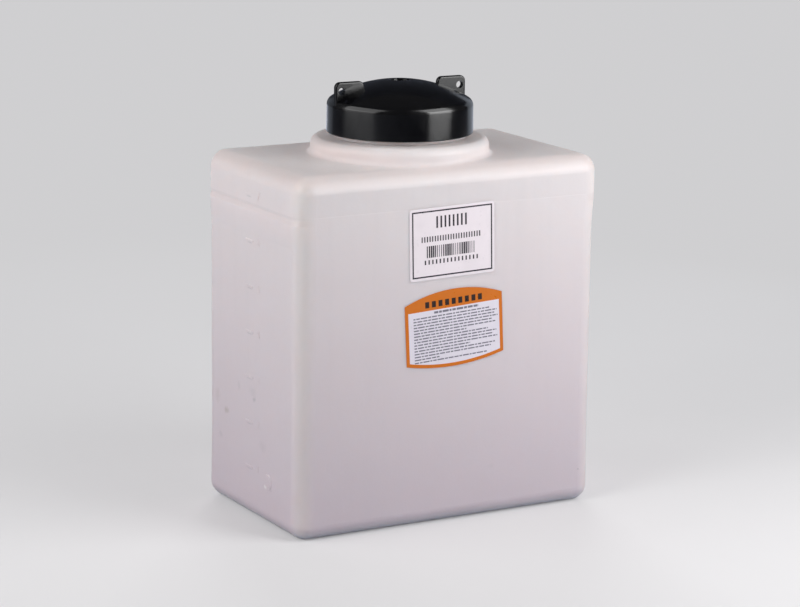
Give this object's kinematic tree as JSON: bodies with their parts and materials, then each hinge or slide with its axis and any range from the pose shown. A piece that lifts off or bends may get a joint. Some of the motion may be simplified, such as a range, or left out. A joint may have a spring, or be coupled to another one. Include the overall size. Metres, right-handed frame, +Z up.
{
  "type": "portable utility tank",
  "caption": "Upright box-shaped plastic tank with rounded edges, a round collar and threaded neck, a domed screw lid with a vent, raised level marks and two stickers.",
  "frame": {"origin": "middle of the flat underside of the tank, where it stands on the floor", "axes": "+Z up through the lid, -Y out of the face with the stickers, +X to the right as seen facing the stickers; the level marks are on the -X face"},
  "size_m": [0.3642, 0.2215, 0.4617],
  "materials": {
    "tank": "satin, milky and translucent",
    "lid": "semi-gloss moulded",
    "seal": "soft, dull",
    "vent": "soft, dull",
    "label": "printed film",
    "card": "printed film"
  },
  "bodies": {
    "tank": {"tank_body": "tank", "product_label": "label", "contents_label": "card"},
    "seal": {"lid_gasket": "seal"},
    "lid": {"lid": "lid", "vent_valve": "vent"}
  },
  "joints": [
    {"name": "lid_rise", "type": "slide", "parent": "tank", "child": "seal", "axis": [0, 0, 1], "range_m": [0, 0.015]},
    {"name": "lid_turn", "type": "hinge", "parent": "seal", "child": "lid", "pos_m": [-0.0036, 0, 0.42], "axis": [0, 0, 1], "range_deg": [0, 540]}
  ],
  "couplings": [
    {"joint": "lid_rise", "follows": "lid_turn", "m_per_rad": 0.0015915}
  ]
}
